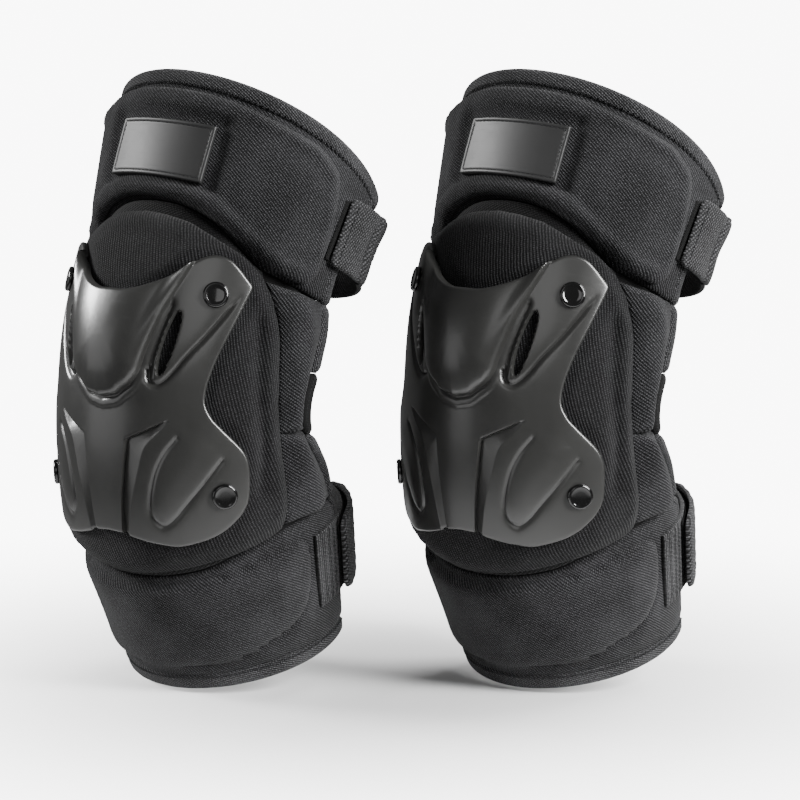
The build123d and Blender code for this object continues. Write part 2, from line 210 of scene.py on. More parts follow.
def within(points, loop):
    """Whether each point is inside a closed outline."""
    x, y = points.T
    found = np.zeros(len(points), bool)
    loop = np.asarray(loop, float)
    for (xa, ya), (xb, yb) in zip(loop, np.roll(loop, -1, 0)):
        crosses = (ya > y) != (yb > y)
        with np.errstate(divide="ignore", invalid="ignore"):
            found ^= crosses & (x < (xb - xa) * (y - ya) / (yb - ya) + xa)
    return found


class Flat:
    """Flat map of a piece in millimetres: u times arc, and s."""

    def __init__(self, at_height):
        self.arc = math.radians(KNEE_RADIUS + at_height)

    def points(self, u, s):
        return np.stack([u * self.arc, s], -1)

    def line(self, points):
        return np.array([(u * self.arc, s) for u, s in points])

    def distance(self, u, s, line):
        return line_distance(self.points(u, s), self.line(line))

    def outline(self, u, s, outline):
        """Distance to a closed outline, and whether inside it."""
        here, loop = self.points(u, s), self.line(outline)
        return line_distance(here, loop, True), within(here, loop)


# One map for each kind of piece, at the height of its outside
TAPE_MAP, SLEEVE_MAP, PIECE_MAP, PANEL_MAP, SHELL_MAP = (Flat(h) for h in (6, 8, 9, 13.5, SHELL_TOP))

# ---- Meshes ----
TRIANGLE_HEIGHT = 0.866       # of a triangle with sides of 1
CREASE_ROWS = (-1.8, -1.0, -0.45, 0, 0.45, 1.0, 1.8)
CREASE_REACH = 2.0            # the even grid stays this far from a crease
THINNEST = 0.2                # least thickness of a piece


def linked(name, data):
    """Object with this data, in the scene."""
    made = bpy.data.objects.new(name, data)
    bpy.context.scene.collection.objects.link(made)
    return made


def new_piece(name, vertices, faces, weave, crisp=50):
    """Mesh object with a weave attribute, the cloth's own coordinates in millimetres."""
    mesh = bpy.data.meshes.new(name)
    mesh.from_pydata([tuple(v) for v in vertices], [], [tuple(int(i) for i in f) for f in faces])
    mesh.validate()
    attribute = mesh.attributes.new("weave", "FLOAT_VECTOR", "POINT")
    attribute.data.foreach_set("vector", np.asarray(weave, np.float32).ravel())
    mesh.shade_smooth()
    mesh.set_sharp_from_angle(angle=math.radians(crisp))
    return linked(name, mesh)


def divided(loop, cell):
    """Closed outline with more points, none further apart than cell."""
    out = []
    for a, b in zip(loop, np.roll(loop, -1, 0)):
        count = max(1, math.ceil(norm(b - a) / cell))
        out += [a + (b - a) * k / count for k in range(count)]
    return np.array(out)


def leftwards(run):
    """Unit vectors a quarter turn to the left of each run."""
    run = run / np.maximum(norm(run, axis=1), 1e-9)[:, None]
    return np.stack([-run[:, 1], run[:, 0]], -1)


def inset_points(loop, by):
    """Points by inwards from an outline that runs anticlockwise."""
    moved = loop + leftwards(np.roll(loop, -1, 0) - np.roll(loop, 1, 0)) * by
    return moved[(line_distance(moved, loop, True) > 0.9 * by) & within(moved, loop)]


def beside(line, cell, gaps):
    """Points along a line and at gaps to both sides of it, so that a crease there is crisp."""
    line = np.asarray(line, float)
    run = lengths(line)
    at = np.linspace(0, run[-1], max(2, int(run[-1] / cell)))
    on = np.stack([np.interp(at, run, line[:, k]) for k in (0, 1)], -1)
    normal = leftwards(np.gradient(on, axis=0))
    return np.concatenate([on + normal * gap for gap in gaps])


def filled(outline, cell, rings, holes, creases=()):
    """Triangles that fill an outline, with rows of points along its edge and its creases.
    Gives the points, the triangles and each point's distance to the edge."""
    loops = []
    for loop in (outline, *holes):
        loop = divided(np.asarray(loop, float), cell)
        x, y = loop.T
        area = np.sum(x * np.roll(y, -1) - np.roll(x, -1) * y)
        loops.append(loop if area > 0 else loop[::-1])
    outer = loops[0]
    near = [inset_points(outer, by) for by in rings]
    low, high = outer.min(0), outer.max(0)
    reach = (rings[-1] if rings else 0) + 0.6 * cell
    rows = np.arange(low[1], high[1], cell * TRIANGLE_HEIGHT)
    grid = np.array([(x + (k % 2) * cell / 2, y) for k, y in enumerate(rows)
                     for x in np.arange(low[0], high[0], cell)])
    grid = grid[within(grid, outer)]
    grid = grid[line_distance(grid, outer, True) > reach]
    if creases:
        rows = np.concatenate([beside(line, 0.8 * cell, CREASE_ROWS) for line in creases])
        rows = rows[within(rows, outer) & (line_distance(rows, outer, True) > 0.5)]
        taken = np.min([line_distance(grid, line) for line in creases], axis=0) < CREASE_REACH
        grid = np.concatenate([grid[~taken], rows])
    extra = np.concatenate([*near, grid])
    for hole in loops[1:]:
        extra = extra[~within(extra, hole)]
        extra = extra[line_distance(extra, hole, True) > 0.4 * cell]
    points = np.concatenate([*loops, extra])
    edges, first = [], len(outer)
    for hole in loops[1:]:
        n = len(hole)
        edges += [(first + k, first + (k + 1) % n) for k in range(n)]
        first += n
    found = delaunay_2d_cdt([Vector(p) for p in points], edges, [list(range(len(outer)))], 1, 1e-5)
    points = np.array([tuple(v) for v in found[0]])
    triangles = np.array(found[2])
    for hole in loops[1:]:
        middles = points[triangles].mean(1)
        triangles = triangles[~within(middles, hole)]
    a, b, c = (points[triangles[:, k]] for k in range(3))
    (bx, by), (cx, cy) = (b - a).T, (c - a).T
    clockwise = bx * cy - by * cx < 0
    triangles[clockwise] = triangles[clockwise][:, ::-1]
    edge = line_distance(points, outer, True)
    for hole in loops[1:]:
        edge = np.minimum(edge, line_distance(points, hole, True))
    return points, triangles, edge


def pad(name, outline, top, under, cell=2.4, rings=(0.5, 1.2, 2.2), holes=(), crisp=50, creases=()):
    """Closed piece between two heights over an outline of (u, s).
    top(u, s, edge) gives h, and under is h or under(u, s)."""
    flat = PIECE_MAP
    points, triangles, edge = filled(flat.line(outline), cell, rings, [flat.line(hole) for hole in holes],
                                     [flat.line(line) for line in creases])
    u, s = points[:, 0] / flat.arc, points[:, 1]
    high = top(u, s, edge)
    low = under(u, s) if callable(under) else np.full(len(u), float(under))
    high = np.maximum(high, low + THINNEST)
    n = len(points)
    directed = dict.fromkeys((int(a), int(b)) for t in triangles for a, b in zip(t, np.roll(t, -1)))
    walls = [(b, a, a + n, b + n) for a, b in directed if (b, a) not in directed]
    faces = [*triangles, *(triangles[:, ::-1] + n), *walls]
    vertices = np.concatenate([place(u, s, high), place(u, s, low)])
    weave = np.tile(np.stack([points[:, 0], points[:, 1], np.zeros(n)], -1), (2, 1))
    return new_piece(name, vertices, faces, weave, crisp)


# The cloth simulation: size of the remeshed cells, when it stops, and what the cloth is like
CLOTH_VOXEL = 0.004
CLOTH_FRAMES = 20
CLOTH = dict(quality=4, mass=0.2, tension_stiffness=12, compression_stiffness=12, bending_stiffness=0.4,
             use_pressure=True, uniform_pressure_force=4.0)
NEIGHBOURS = 6                # simulated points that move one point of the piece


def simulated(mesh):
    """Start of each point of a remeshed copy, and its movement as the cloth swells under pressure."""
    model = linked("cloth_model", mesh.copy())
    remesh = model.modifiers.new("remesh", "REMESH")
    remesh.mode, remesh.voxel_size = "VOXEL", CLOTH_VOXEL
    graph = bpy.context.evaluated_depsgraph_get()
    model.data = bpy.data.meshes.new_from_object(model.evaluated_get(graph))
    model.modifiers.clear()
    start = np.array([v.co for v in model.data.vertices])
    modifier = model.modifiers.new("cloth", "CLOTH")
    for key, value in CLOTH.items():
        setattr(modifier.settings, key, value)
    modifier.settings.effector_weights.gravity = 0
    modifier.point_cache.frame_start, modifier.point_cache.frame_end = 1, CLOTH_FRAMES
    for number in range(1, CLOTH_FRAMES + 1):
        bpy.context.scene.frame_set(number)
    graph = bpy.context.evaluated_depsgraph_get()
    end = np.array([v.co for v in model.evaluated_get(graph).data.vertices])
    bpy.context.scene.frame_set(1)
    bpy.data.objects.remove(model)
    return start, end - start


def puffed(piece, cap, free=None):
    """The piece, swollen by the cloth simulation by at most cap.
    free(u, s) is the share of the movement that each place may take."""
    start, moved = simulated(piece.data)
    size = norm(moved, axis=1)[:, None]
    moved *= np.minimum(1, cap * MM / np.maximum(size, 1e-9))
    tree = KDTree(len(start))
    for k, point in enumerate(start):
        tree.insert(point, k)
    tree.balance()
    mesh = piece.data
    points = np.array([v.co for v in mesh.vertices])
    weave = np.empty(len(points) * 3, np.float32)
    mesh.attributes["weave"].data.foreach_get("vector", weave)
    x, s, _ = weave.reshape(-1, 3).T
    share = np.ones(len(points)) if free is None else free(x / PIECE_MAP.arc, s)
    for k, point in enumerate(points):
        found = tree.find_n(point, NEIGHBOURS)
        weights = np.array([1 / (distance + 1e-4) for _, _, distance in found])
        near = moved[[index for _, index, _ in found]]
        points[k] = point + (near * weights[:, None]).sum(0) / weights.sum() * share[k]
    mesh.vertices.foreach_set("co", points.ravel())
    mesh.update()
    return piece


def circle(count):
    """Cosine and sine at count places round a circle."""
    return [(math.cos(turn), math.sin(turn)) for turn in (2 * math.pi * k / count for k in range(count))]


def tube(first, rows, around):
    """Faces of a closed tube of rings of vertices, counted from first."""
    ring = [(k, (k + 1) % around) for k in range(around)]
    starts = [first + i * around for i in range(rows)]
    sides = [(i + a, i + b, j + b, j + a) for i, j in zip(starts, starts[1:]) for a, b in ring]
    return [*sides, tuple(range(first, first + around))[::-1], tuple(range(starts[-1], starts[-1] + around))]


def sweep(name, path, across, section):
    """Closed tube along a path of (u, s), with a section of (mm across the path, h) and rounded ends."""
    path, across, section = (np.asarray(x, float) for x in (path, across, section))
    middle = section.mean(0)
    shrink = [0.55, 0.9] + [1] * (len(path) - 4) + [0.9, 0.55]
    rows, weave = [], []
    run = lengths(path * (TAPE_MAP.arc, 1))
    around = np.cumsum(norm(section - np.roll(section, 1, 0), axis=1))
    for (u, s), (du, ds), size, at in zip(path, across, shrink, run):
        a, h = (middle + (section - middle) * size).T
        rows.append(place(u + du * a, s + ds * a, h))
        weave.append(np.stack([np.full(len(a), at), around, np.zeros(len(a))], -1))
    faces = tube(0, len(path), len(section))
    return new_piece(name, np.concatenate(rows), faces, np.concatenate(weave))


def rounded_section(a, b, low, high, corner, steps=4):
    """Closed section between a and b across and low and high out, with rounded corners."""
    out = []
    for x, y, start in ((b - corner, high - corner, 0), (a + corner, high - corner, 90),
                        (a + corner, low + corner, 180), (b - corner, low + corner, 270)):
        for k in range(steps + 1):
            angle = math.radians(start + 90 * k / steps)
            out.append((x + corner * math.cos(angle), y + corner * math.sin(angle)))
    return out


THREAD_SIDES = 5
THREAD_STEPS = ((0, 0.4), (0.25, 1), (0.75, 1), (1, 0.4))     # how far along, and how thick there


def threads(name, pairs, thick, lift):
    """Stitches: short threads between pairs of points, each arched out of the cloth by lift."""
    vertices, faces, weave = [], [], []
    for start, end, out in pairs:
        a, b, out = Vector(start), Vector(end), Vector(out)
        run = (b - a).normalized()
        side = run.cross(out).normalized()
        faces += tube(len(vertices), len(THREAD_STEPS), THREAD_SIDES)
        for t, size in THREAD_STEPS:
            centre = a.lerp(b, t) + out * (lift * math.sin(math.pi * t) - thick * 0.3)
            for k, (x, y) in enumerate(circle(THREAD_SIDES)):
                vertices.append(centre + (side * x + out * y) * thick * size)
                weave.append((k, t * 4, 0))
    return new_piece(name, vertices, faces, weave, 80)


def stitch_pairs(path, h, pitch, length, sway=0.0):
    """Pairs of points for threads() along a path of (u, s): a straight row, or a zigzag if it sways."""
    arc = SLEEVE_MAP.arc
    flat = np.asarray(path, float) * (arc, 1)
    run = lengths(flat)

    def at(distance):
        return [np.interp(distance, run, flat[:, axis]) for axis in (0, 1)]
    pairs = []
    for k, first in enumerate(np.arange(pitch, run[-1] - pitch, pitch)):
        ends = []
        for t, side in ((first, 1), (first + length, -1)):
            (x, y), (x2, y2) = at(t), at(t + 0.5)
            normal = np.array([-(y2 - y), x2 - x]) / max(math.hypot(x2 - x, y2 - y), 1e-9)
            x, y = np.array([x, y]) + normal * sway * side * (1 if k % 2 else -1)
            ends.append((x / arc, y))
        (ua, sa), (ub, sb) = ends
        pairs.append((place(ua, sa, h), place(ub, sb, h), outward(ua, sa)))
    return pairs


def turned(name, spots, profile, segments=36):
    """Round parts at (u, s, h) spots, each a profile of (radius, out) turned about the way out."""
    vertices, faces, weave = [], [], []
    for u, s, h in spots:
        out = outward(u, s)
        side = out.orthogonal().normalized()
        other = out.cross(side)
        base = Vector(place(u, s, h))
        faces += tube(len(vertices), len(profile), segments)
        for r, up in profile:
            for x, y in circle(segments):
                vertices.append(base + ((side * x + other * y) * r + out * up) * MM)
                weave.append((r * x, r * y, up))
    return new_piece(name, vertices, faces, weave, 32)


# ---- Materials ----
def add(tree, kind, inputs=None, **settings):
    """Node with its settings and inputs, each a value or another node's output."""
    node = tree.nodes.new("ShaderNode" + kind)
    for key, value in settings.items():
        setattr(node, key, value)
    for key, value in (inputs or {}).items():
        if isinstance(value, bpy.types.NodeSocket):
            tree.links.new(value, node.inputs[key])
        else:
            node.inputs[key].default_value = value
    return node


def maths(tree, kind, a, b=0.0, c=0.0):
    return add(tree, "Math", {0: a, 1: b, 2: c}, operation=kind).outputs[0]


def plus(tree, a, b, c):
    """a times b, plus c."""
    return maths(tree, "MULTIPLY_ADD", a, b, c)


def blank(name):
    material = bpy.data.materials.new(name)
    material.use_nodes = True
    tree = material.node_tree
    return material, tree, tree.nodes["Principled BSDF"]


def mixed(tree, share, dark, light):
    """Colour between dark and light."""
    inputs = {0: share, 6: (*dark, 1), 7: (*light, 1)}
    return add(tree, "Mix", inputs, data_type="RGBA").outputs[2]


WAVE = math.tau / 20          # width of one band of the wave texture at scale 1


def noise(tree, source, scale, detail=3.0, **more):
    inputs = {"Vector": source, "Scale": scale, "Detail": detail}
    return add(tree, "TexNoise", {**inputs, **more}).outputs["Fac"]


def ranged(tree, value, low, high):
    """Value as a share of the way from low to high."""
    return add(tree, "MapRange", {"Value": value, "From Min": low, "From Max": high}).outputs[0]


def surface(tree, shader, colour, roughness, height, strength, relief, **settings):
    """Links colour, roughness and relief to a material's shader, and sets its other inputs."""
    tree.links.new(colour, shader.inputs["Base Color"])
    tree.links.new(roughness, shader.inputs["Roughness"])
    bump = add(tree, "Bump", {"Height": height, "Strength": strength, "Distance": relief})
    tree.links.new(bump.outputs[0], shader.inputs["Normal"])
    for key, value in settings.items():
        shader.inputs[key.replace("_", " ")].default_value = value


def cloth(name, dark, light, pitch, turn, yarn=0.7, relief=0.00035, sheen=0.05, fuzz_and_glints=0.35, rough=0.82):
    """Woven or knitted cloth: ribs across the turned direction, broken into yarns, with a hairy nap and wear;
    raised yarns and glinting hairs are painted lighter as painted highlights.
    """
    material, tree, shader = blank(name)
    source = add(tree, "Attribute", attribute_name="weave").outputs["Vector"]
    turn = {"Vector": source, "Rotation": (0, 0, math.radians(turn))}
    along = add(tree, "Mapping", turn).outputs[0]
    ribs = add(tree, "TexWave", {"Vector": along, "Scale": WAVE / pitch, "Distortion": 1.2,
               "Detail": 1.0, "Detail Scale": 1.5}).outputs["Fac"]
    yarns = add(tree, "TexWave", {"Vector": along, "Scale": WAVE / (pitch * yarn),
                "Distortion": 2.5, "Detail": 1.0, "Detail Scale": 1.2}, bands_direction="Y").outputs["Fac"]
    hairs = noise(tree, source, 1.1)
    # glints: painted highlights, the brightest hairs painted as lit specks
    glints = ranged(tree, hairs, 0.38, 0.68)
    worn = noise(tree, source, 0.035)
    crossed = maths(tree, "MULTIPLY", ribs, yarns)
    weave = plus(tree, crossed, 0.75, maths(tree, "MULTIPLY", ribs, 0.25))
    height = plus(tree, hairs, fuzz_and_glints, weave)
    # painted highlight and shade: raised yarns and their glints painted lighter, the hollows between yarns
    # painted darker
    glinting = maths(tree, "MULTIPLY", weave, glints)
    lit = plus(tree, glinting, 0.9, maths(tree, "MULTIPLY", weave, 0.25))
    shade = plus(tree, maths(tree, "SUBTRACT", worn, 0.5), 0.5, lit)
    # painted glints on the hairs, stronger where the nap is fuller
    shade = plus(tree, glints, fuzz_and_glints * 0.25, shade)
    matt = {"Value": height, "To Min": min(1, rough + 0.12), "To Max": rough - 0.08}
    roughness = add(tree, "MapRange", matt).outputs[0]
    surface(tree, shader, mixed(tree, shade, dark, light), roughness, height, 0.9, relief,
            Sheen_Weight=sheen, Sheen_Roughness=0.45, Specular_IOR_Level=0.2)
    return material


def moulded(name, dark, light, rough, grain, relief, coat=0.0, scratch=0.25):
    """Moulded plastic or rubber: fine grain, uneven gloss, worn and scuffed in places."""
    material, tree, shader = blank(name)
    source = add(tree, "Attribute", attribute_name="weave").outputs["Vector"]
    fine = noise(tree, source, grain, 4.0)
    patchy = noise(tree, source, 0.05, 4.0, Roughness=0.6)
    stretch = {"Vector": source, "Rotation": (0, 0, 0.5), "Scale": (0.12, 1.6, 1)}
    marks = noise(tree, add(tree, "Mapping", stretch).outputs[0], 0.8, 5.0)
    scuffs = ranged(tree, marks, 0.58, 0.75)
    shade = plus(tree, scuffs, scratch, patchy)
    gloss = plus(tree, patchy, 0.12, rough - 0.06)
    gloss = plus(tree, scuffs, 0.08, gloss)
    surface(tree, shader, mixed(tree, shade, dark, light), gloss, fine, 0.5, relief,
            Specular_IOR_Level=0.8, Coat_Weight=coat, Coat_Roughness=0.15)
    return material


def greys(dark, light, blue=0.0, dark_blue=0.0):
    """Dark and light grey, each with a little more or less blue."""
    return (dark, dark, dark + dark_blue), (light, light, light + blue)


MATERIALS = {
    "main_fabric": cloth("twill fabric", *greys(0.0016, 0.082, 0.005, 0.0002), 1.35, -52, relief=0.0005),
    # stretch fabric: its own dark tone, made darker still as painted shade on the knee's front
    "pad_fabric": cloth("stretch fabric darkened as shade", *greys(0.0014, 0.04, 0.002, 0.0002), 1.6, -20, 0.55, 0.0005),
    # foam cover: its own dark knit, made very dark so that where it shows in the creases it is painted crease
    # shade
    "foam": cloth("foam cover darkened as crease shade", *greys(0.0012, 0.012, 0.001), 1.4, 60, 1.0, fuzz_and_glints=0.6),
    "insert_fabric": cloth("smooth insert", *greys(0.0012, 0.007, 0.0005), 0.9, 90, 1.2, 0.0001),
    "lining_mesh": cloth("lining mesh", *greys(0.003, 0.05, 0.003, 0.0005), 2.2, 0, 1.0, 0.0004),
    "binding_tape": cloth("binding tape", *greys(0.0025, 0.12, 0.005, 0.0003), 1.25, 118, 0.8, 0.0004,
                          fuzz_and_glints=0.5),
    "strap_elastic": cloth("ribbed elastic", *greys(0.001, 0.13, 0.005), 1.9, 0, 0.45, 0.0005, 0.04, 0.4),
    "tab_webbing": cloth("brushed webbing", *greys(0.0008, 0.125, 0.005), 1.7, 30, 0.9, 0.0007, 0.04, 0.6),
    "hook_tape": cloth("hook tape", *greys(0.001, 0.02), 1.2, 0, 1.0, 0.0006, 0.0, 0.1, 0.5),
    "loop_tape": cloth("loop tape", *greys(0.0006, 0.006), 1.0, 20, 1.0, 0.0006, 0.02, 1.2),
    "thread": cloth("sewing thread", *greys(0.004, 0.08, 0.005, 0.0005), 0.7, 25, 1.0, 0.0001),
    "shell_plastic": moulded("shell plastic", *greys(0.0165, 0.027, -0.0015, -0.0007), 0.30, 2.6, 0.00005,
                             0.2),
    "label_rubber": moulded("label rubber", *greys(0.004, 0.008), 0.55, 3.4, 0.00005),
    "rivet_gloss": moulded("gloss rivet", *greys(0.001, 0.0025), 0.10, 1.5, 0.00001, 0.2, 0.1),
    "washer_plastic": moulded("washer plastic", *greys(0.008, 0.018), 0.5, 3.0, 0.00005),
}


# ---- Pieces of the left guard ----
RIVETS = [(41, 50), (49.5, -34)]
SHELL_HALF = [
    *curve([(0, 46), (6, 46.2), (12, 48), (19, 51.7), (25.5, 57), (32, 63), (36, 65.5), (40, 66.2),
            (44, 65.4), (48, 62.7), (52.5, 58.8)], 5)[:-1],
    *curve([(52.5, 58.8), (54.3, 56.6), (53.6, 52.2), (51, 42), (48.6, 34), (46, 26), (43.8, 18), (42.4, 11),
            (42.4, 5), (45, -0.5), (48.2, -4.2), (54.4, -10.8), (58, -15.5), (59.8, -21), (60, -28),
            (59, -37), (56.2, -42.6), (53, -46), (49, -49.2)], 4)[:-1],
    *curve([(49, -49.2), (44, -51.5), (38, -53), (30, -54), (24, -53), (18, -51.7), (10, -49.4), (9.4, -48.6),
            (5, -48.2), (0, -47.8)], 4)]
CHANNEL_INNER = [*curve([(6.8, -52), (8, -38), (9.4, -24), (10.6, -12.5)], 3),
                 (11, -11), (21.5, -6), (30, -1.5)]
CHANNEL_OUTER = curve([(9.2, -52), (12.8, -34.8), (16.2, -22.5), (19, -13.5), (24.2, -8), (30, -1.5)], 5)
LOBE_MARK = curve([(31.5, -9.8), (27.5, -14.8), (24.5, -20), (22.2, -26), (20.4, -34), (20.2, -40),
                   (22.2, -43.6), (25.5, -45), (29.8, -42.2), (34, -37.5), (40.2, -30.5), (44.2, -25.5),
                   (49, -19)], 4)
LEAF_MARK = curve([(51.5, 54), (45.8, 42.5), (39.8, 32.2), (33.2, 23), (29.8, 17.8), (26.2, 13.5),
                   (22.5, 11.2), (19.5, 12.8), (18.5, 17)], 4)
LOBE_SWELL = [(38, -16), (30, -26), (25, -37)]
TROUGH = [(25, 43), (22.5, 33), (20, 22), (19.5, 14)]
CUP_HALF = curve([(0, 4.6), (6.2, 6), (9, 8.2), (12.5, 11), (15.6, 15.5), (16.8, 20.2), (19, 28.2),
                  (21.8, 37.2), (23.8, 43), (28, 54), (33, 68)], 4)
CHANNEL_DEPTH = 2.6
SHELL_EDGE = 1.3              # rounding of the shell's edge
VENT = (26, 28)
VENT_HALVES = (3.1, 13.3)     # half its width and half its length
VENT_TURN = -16
RIVET_HOLE = 2.4


def turned_ellipse(middle, half_width, half_length, turn, side, count=40):
    """Outline of (u, s) of an ellipse that leans by turn degrees."""
    turn = math.radians(turn) * side
    across, along = math.cos(turn), math.sin(turn)
    points = [(half_width * x, half_length * y) for x, y in circle(count)]
    return [(side * middle[0] + (x * across - y * along) / SHELL_MAP.arc, middle[1] + x * along + y * across)
            for x, y in points]


def vent(side):
    return turned_ellipse(VENT, *VENT_HALVES, VENT_TURN, side)


def cup_rise(u, s):
    """How far the cup, a deep bowl, stands out of the shell, and how far inside its foot each place is."""
    foot = SHELL_MAP.line([(-x, y) for x, y in CUP_HALF[::-1]] + CUP_HALF[1:])
    here = SHELL_MAP.points(u, s)
    inwards = line_distance(here, foot) * np.where(within(here, foot), 1, -1)
    wall = 2.6 * step(-0.4, 2.0, inwards)
    bowl = 6.8 * arch(np.maximum(inwards, 0), 25) - 3.4 * ((s - 20) / 26) ** 2 * step(0, 8, inwards)
    return wall + bowl, inwards


def shell_top(u, s, edge):
    flat = SHELL_MAP
    side = np.abs(u)
    here = flat.points(side, s)
    h = np.full(len(u), SHELL_TOP)
    # channel beside the middle ridge: a slope from its inner edge down to its outer edge
    inner = flat.distance(side, s, CHANNEL_INNER)
    outer = flat.distance(side, s, CHANNEL_OUTER)
    tip = np.hypot((side - 30) * flat.arc, s + 1.5)
    depth = CHANNEL_DEPTH * step(0, 14, tip)
    inside = within(here, flat.line(CHANNEL_INNER + CHANNEL_OUTER[::-1]))
    slope = outer / np.maximum(inner + outer, 1e-6)
    h -= np.where(inside, depth * slope, depth * np.clip(1 - inner / 0.5, 0, 1))
    # curved marks on the lobe and beside the slot
    mark = flat.distance(side, s, LOBE_MARK)
    h -= 0.9 * swell(mark, 0.9) + 0.35 * swell(mark, 2.6)
    h += 0.5 * swell(flat.distance(side, s, LOBE_SWELL), 6)
    leaf = flat.distance(side, s, LEAF_MARK)
    fade = step(0, 14, np.hypot((side - 51.5) * flat.arc, s - 54))
    h -= fade * (1.7 * swell(leaf, 1.1) + 0.4 * swell(leaf, 3.5))
    # trough between the cup and the slot, and the slot's rounded edge
    rise, inwards = cup_rise(u, s)
    trough = flat.distance(side, s, TROUGH)
    slot_edge = line_distance(here, flat.line(vent(1)), True)
    h -= 1.6 * swell(trough, 1.7) * step(-1.5, 1.0, -inwards) * step(0.3, 2.0, slot_edge)
    h -= 0.5 * fall(slot_edge, 0.8)
    # low step round the cup's foot
    h += 0.9 * step(0.4, 1.4, -inwards) * (1 - step(3.4, 4.4, -inwards)) * (1 - step(8, 14, s))
    h = h + np.where(inwards > -0.5, rise, 0) * step(-0.5, 0.8, inwards)
    return h - SHELL_EDGE * fall(edge, SHELL_EDGE)


def shell_under(u, s):
    rise, inwards = cup_rise(u, s)
    return SHELL_UNDER + np.where(inwards > 2, rise - 1.2, 0) * step(2, 4, inwards)


def knee_shell():
    holes = []
    for side in (1, -1):
        holes.append(vent(side))
        for spot in RIVETS:
            holes.append(turned_ellipse(spot, RIVET_HOLE, RIVET_HOLE, 0, side, 16))
    marks = [CHANNEL_INNER, CHANNEL_OUTER, LOBE_MARK, LEAF_MARK, CUP_HALF]
    creases = [[(side * u, s) for u, s in mark] for mark in marks for side in (1, -1)]
    rings = (0.2, 0.5, 0.9, SHELL_EDGE)
    return pad("shell", mirrored(SHELL_HALF), shell_top, shell_under, 0.9, rings, holes, 38, creases)


RIVET_SPOTS = [(side * u, s) for side in (1, -1) for u, s in RIVETS]


def rivet_caps():
    profile = [(2.0, -9.0), (2.0, -0.1), (6.4, -0.1), (6.9, 0.2), (7.0, 0.8), (6.85, 1.5), (6.45, 2.05),
               (5.9, 2.3), (5.4, 2.25), (4.9, 2.0), (4.2, 1.8), (2.8, 1.7), (0.6, 1.65)]
    return turned("caps", [(u, s, SHELL_TOP + 0.05) for u, s in RIVET_SPOTS], profile)


def rivet_washers():
    profile = [(2.3, 0), (5.8, 0), (6.0, 0.3), (6.0, 0.9), (5.7, 1.2), (4.2, 1.2), (4.0, 0.9), (3.0, 0.9),
               (2.3, 1.2)]
    return turned("washers", [(u, s, WASHER_UNDER) for u, s in RIVET_SPOTS], profile)


PANEL_GAP = 0.8               # from the fold line to the lower edge of the raised pad
PANEL_RECESS = [(26.5, 100), (27.5, 135), (-23, 135), (-27, 101)]
LABEL_CORNERS = [(-20.5, 132.4), (25, 132.2), (24, 101), (-24.8, 102.2)]
LABEL_ROW = [(-18.5, 130.3), (23, 130.1), (22.1, 103.1), (-22.8, 104.2)]     # corners of its stitching
CORNER_CUT = 0.035            # share of a side of the badge that its cut corner takes
PAD_RINGS = (0.5, 1.2, 2.2, 3.6)
KNEE_PAD_MOST = 15.25         # keeps it clear of the shell


def thigh_panel():
    bottom = [(u, thigh_fold(u) + PANEL_GAP) for u in range(0, 66, 3)]
    side = curve([(68, thigh_fold(68) + PANEL_GAP), (79, 66.5), (83.5, 74), (83.5, 92), (82, 108),
                  (79.5, 122), (76, 130), (69, 137)], 5)
    top = [(u, top_rim(u) - BINDING - 1.5) for u in range(66, -1, -3)]
    half = [*bottom, *side, *top]

    def height(u, s, edge):
        side = np.abs(u)
        front = 1 - step(30, 52, side)
        h = 8.4 + 5.3 * arch(edge, 4.5) + 1.5 * swell(edge, 2.5, 6) * (1 - front)
        rim, inside = PANEL_MAP.outline(u, s, PANEL_RECESS)
        deep = np.where(inside, 1, 1 - step(0, 7, rim))
        roll = s - thigh_fold(u)
        h += 1.1 * front * swell(roll, 3.2, 8) - 1.2 * front * swell(roll, 2.2, 13)
        h += 0.9 * swell(rim, 4, 9) * (1 - deep) * step(4, 12, edge)
        return h - 2.9 * deep * step(0, 6, edge)
    return puffed(pad("thigh_pad", mirrored(half), height, PAD_UNDER, 2.2, PAD_RINGS), 1.6)


def thigh_label():
    def height(u, s, edge):
        return 13.6 - 0.7 * fall(edge, 0.7) - 0.5 * swell(edge, 0.4, 2.1) - 0.3 * step(2.1, 3.2, edge)
    outline = []
    corners = LABEL_CORNERS
    for (ua, sa), (ub, sb), (uc, sc) in zip(corners[-1:] + corners, corners, corners[1:] + corners[:1]):
        outline += [(ub + (ua - ub) * CORNER_CUT, sb + (sa - sb) * CORNER_CUT), (ub, sb),
                    (ub + (uc - ub) * CORNER_CUT, sb + (sc - sb) * CORNER_CUT)]
    return pad("label", outline, height, 10.4, 1.6, (0.3, 0.7, 1.2, 1.7, 2.1, 2.5, 3.2))


def label_stitches():
    path = divided(SLEEVE_MAP.line(LABEL_ROW), 1.5) / (SLEEVE_MAP.arc, 1)
    return threads("label_stitches", stitch_pairs([*path, path[0]], 13.25, 2.4, 1.7), 0.2 * MM, 0.1 * MM)


